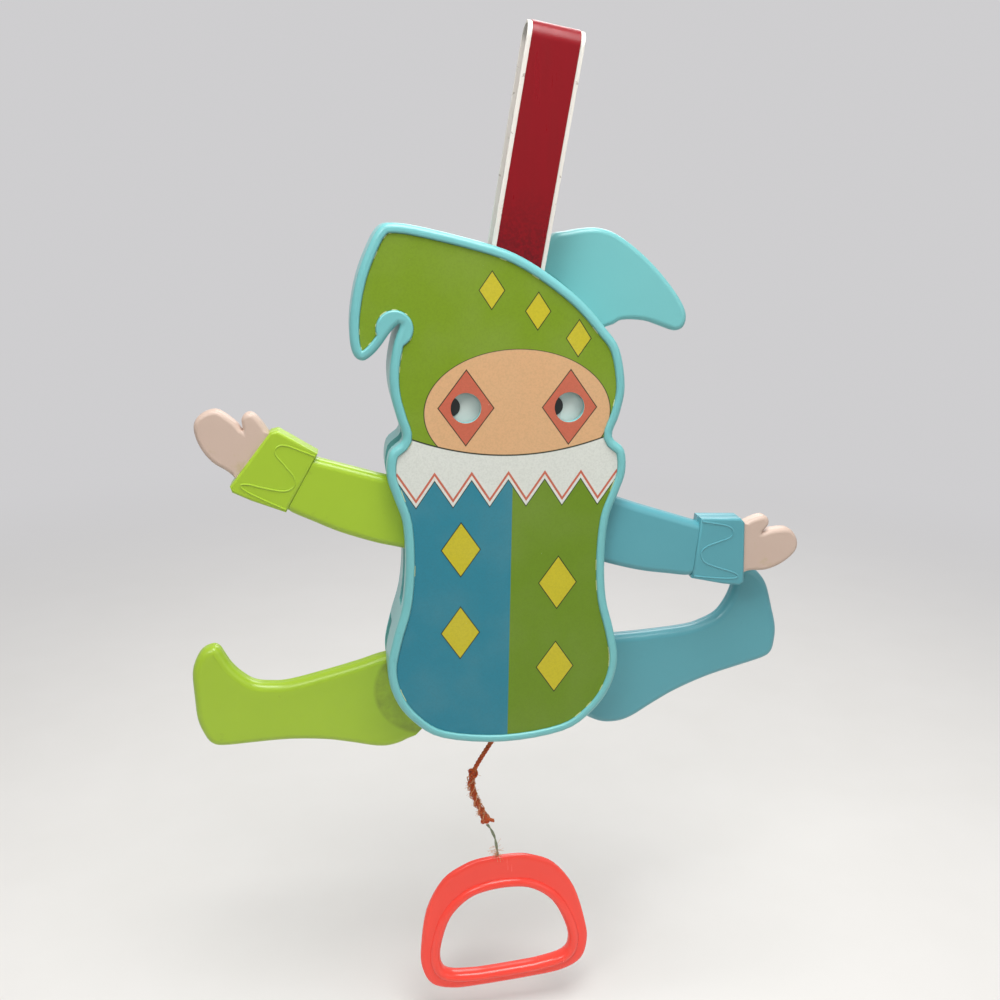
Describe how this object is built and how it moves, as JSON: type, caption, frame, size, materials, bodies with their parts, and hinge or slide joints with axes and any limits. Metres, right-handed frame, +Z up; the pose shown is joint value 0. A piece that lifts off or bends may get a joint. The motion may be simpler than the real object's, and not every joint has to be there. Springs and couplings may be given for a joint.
{
  "type": "pull string jumping jack",
  "caption": "Flat hanging toy figure in a hollow plastic case; pulling a ring on a cord slides an inner bar that swings the arms and legs up and rocks the eyes.",
  "frame": {"origin": "the point of the strap's loop that a hook bears on, on the loop's inner face", "axes": "+Z up along the hanging direction, front faces -Y, +X to the figure's left, the viewer's right"},
  "size_m": [0.3027, 0.0373, 0.4999],
  "materials": {
    "shell_turquoise": "gloss",
    "label_card": "satin",
    "strap_vinyl_white": "satin",
    "strap_vinyl_red": "satin",
    "limb_lime": "gloss",
    "limb_turquoise": "gloss",
    "hand_pink": "satin",
    "ring_red": "gloss",
    "cord_twine": "matte",
    "thread_twine": "matte",
    "pin_steel": "satin",
    "inner_plastic": "satin",
    "pupil_black": "satin",
    "eyelet_brass": "satin"
  },
  "bodies": {
    "case": {"front_shell": "shell_turquoise", "back_shell": "shell_turquoise", "front_label": "label_card", "strap_core": "strap_vinyl_white", "strap_facing": "strap_vinyl_red", "strap_pin": "pin_steel", "left_shoulder_pin": "pin_steel", "right_shoulder_pin": "pin_steel", "left_hip_pin": "pin_steel", "right_hip_pin": "pin_steel", "shoulder_washers": "inner_plastic", "hip_washers": "inner_plastic", "case_screws": "pin_steel", "cord_eyelet": "eyelet_brass", "eye_pivot_pin": "pin_steel", "upper_bar_guide": "inner_plastic", "lower_bar_guide": "inner_plastic"},
    "pull": {"pull_bar": "inner_plastic", "arm_yoke": "inner_plastic", "leg_yoke": "inner_plastic", "yoke_rivets": "pin_steel", "eye_drive_pin": "pin_steel", "pull_cord_inner": "cord_twine", "bar_knot": "cord_twine", "pull_cord": "cord_twine", "cord_knot": "cord_twine", "tie_thread": "thread_twine", "pull_ring": "ring_red"},
    "left_arm": {"left_arm_front": "limb_lime", "left_arm_back": "limb_lime", "left_hand": "hand_pink", "left_arm_crank_pin": "pin_steel"},
    "right_arm": {"right_arm_front": "limb_turquoise", "right_arm_back": "limb_turquoise", "right_hand": "hand_pink", "right_arm_crank_pin": "pin_steel"},
    "left_leg": {"left_leg_front": "limb_lime", "left_leg_back": "limb_lime", "left_leg_crank_pin": "pin_steel"},
    "right_leg": {"right_leg_front": "limb_turquoise", "right_leg_back": "limb_turquoise", "right_leg_crank_pin": "pin_steel"},
    "eyes": {"eye_plate": "inner_plastic", "eye_pupils": "pupil_black"}
  },
  "joints": [
    {"name": "pull_slide", "type": "slide", "parent": "case", "child": "pull", "axis": [0, 0, -1], "range_m": [-0.0055, 0.0135]},
    {"name": "left_arm_swing", "type": "hinge", "parent": "case", "child": "left_arm", "pos_m": [-0.05141, 0, -0.21815], "axis": [0, 1, 0], "range_deg": [-12.84, 31.51]},
    {"name": "right_arm_swing", "type": "hinge", "parent": "case", "child": "right_arm", "pos_m": [0.0146, 0, -0.21815], "axis": [0, -1, 0], "range_deg": [-26.49, 65.01]},
    {"name": "left_leg_swing", "type": "hinge", "parent": "case", "child": "left_leg", "pos_m": [-0.06041, 0, -0.30465], "axis": [0, 1, 0], "range_deg": [-15.29, 37.51]},
    {"name": "right_leg_swing", "type": "hinge", "parent": "case", "child": "right_leg", "pos_m": [0.0236, 0, -0.30465], "axis": [0, -1, 0], "range_deg": [-7.55, 18.51]},
    {"name": "eye_swing", "type": "hinge", "parent": "case", "child": "eyes", "pos_m": [-0.0184, 0, -0.22665], "axis": [0, 1, 0], "range_deg": [-3.16, 7.74]}
  ],
  "couplings": [
    {"joint": "left_arm_swing", "follows": "pull_slide", "rad_per_m": 40.724},
    {"joint": "right_arm_swing", "follows": "pull_slide", "rad_per_m": 84.034},
    {"joint": "left_leg_swing", "follows": "pull_slide", "rad_per_m": 48.481},
    {"joint": "right_leg_swing", "follows": "pull_slide", "rad_per_m": 23.917},
    {"joint": "eye_swing", "follows": "pull_slide", "rad_per_m": 10}
  ]
}
